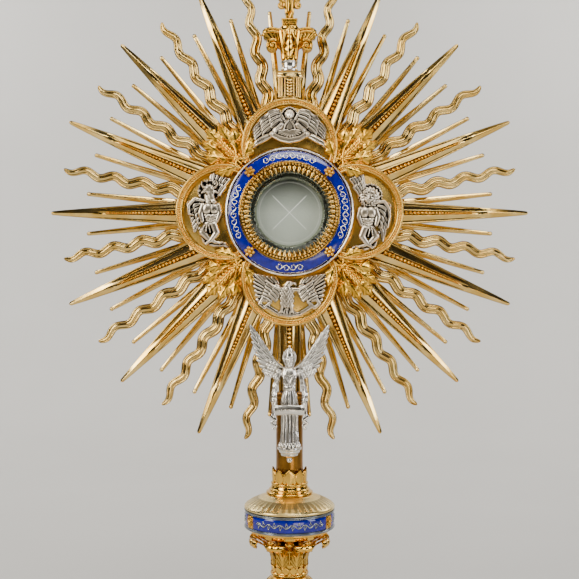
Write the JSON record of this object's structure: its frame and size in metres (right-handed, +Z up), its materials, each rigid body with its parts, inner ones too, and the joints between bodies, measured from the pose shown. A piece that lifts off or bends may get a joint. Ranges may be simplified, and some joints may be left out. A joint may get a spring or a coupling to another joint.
{
  "type": "sunburst monstrance",
  "caption": "Gilt altar monstrance: a glazed round case for a host in an enamel ring and quatrefoil of reliefs, set in a sunburst on a knopped stem with an angel.",
  "frame": {"origin": "centre of the foot's underside, on the table", "axes": "+Z up along the stem, the front with the angel and the window faces -Y, +X is on the viewer's right"},
  "size_m": [0.5, 0.25, 0.86],
  "materials": {
    "gilt": "gilt, polished",
    "silver": "polished silver, dark in the recesses",
    "enamel": "translucent blue enamel",
    "steel": "turned",
    "crystal": "clear",
    "host": "matt wafer",
    "wood": "oiled"
  },
  "bodies": {
    "stand": {"foot_rim": "gilt", "foot_plate": "wood", "foot_band": "gilt", "foot_enamel": "enamel", "foot_studs": "gilt", "foot_dome": "gilt", "tie_rod": "steel", "tie_nut": "steel", "baluster": "gilt", "cushion_ring": "gilt", "leaf_ring": "gilt", "capital_bell": "gilt", "capital_leaves": "gilt", "knop_band": "silver", "knop_enamel": "enamel", "knop_studs": "gilt", "knop_dome": "gilt", "step_collar": "gilt", "crown_leaves": "gilt", "column": "gilt", "bracket": "silver", "angel_robe": "silver", "angel_head": "silver", "angel_arms": "silver", "angel_scroll": "silver", "angel_wings": "silver", "glory_hub": "gilt", "long_rays": "gilt", "flame_rays": "gilt", "short_rays": "gilt", "lower_blade": "gilt", "upper_blade": "gilt", "cross_post": "silver", "cross_capital": "gilt", "cross": "gilt", "quatrefoil_plate": "gilt", "lobe_rims": "gilt", "relief_man": "silver", "relief_ox": "silver", "relief_lion": "silver", "relief_eagle": "silver", "corner_foliage": "gilt", "plate_screws": "steel", "case_tube": "gilt", "enamel_frame": "gilt", "enamel_panels": "enamel", "ring_rosettes": "gilt", "crown_bezel": "gilt", "front_glass": "crystal", "luna_ring": "gilt", "luna_glass": "crystal", "luna_clip": "gilt", "host": "host", "hinge_pin": "steel", "latch_pin": "steel"},
    "door": {"door_ring": "gilt", "door_glass": "crystal"},
    "latch": {"latch": "gilt"}
  },
  "joints": [
    {"name": "door_hinge", "type": "hinge", "parent": "stand", "child": "door", "pos_m": [-0.0545, 0.0282, 0.55], "axis": [0, 0, 1], "range_deg": [0, 110]},
    {"name": "latch_turn", "type": "hinge", "parent": "stand", "child": "latch", "pos_m": [0.055, 0.0318, 0.55], "axis": [0, -1, 0], "range_deg": [0, 90]}
  ]
}
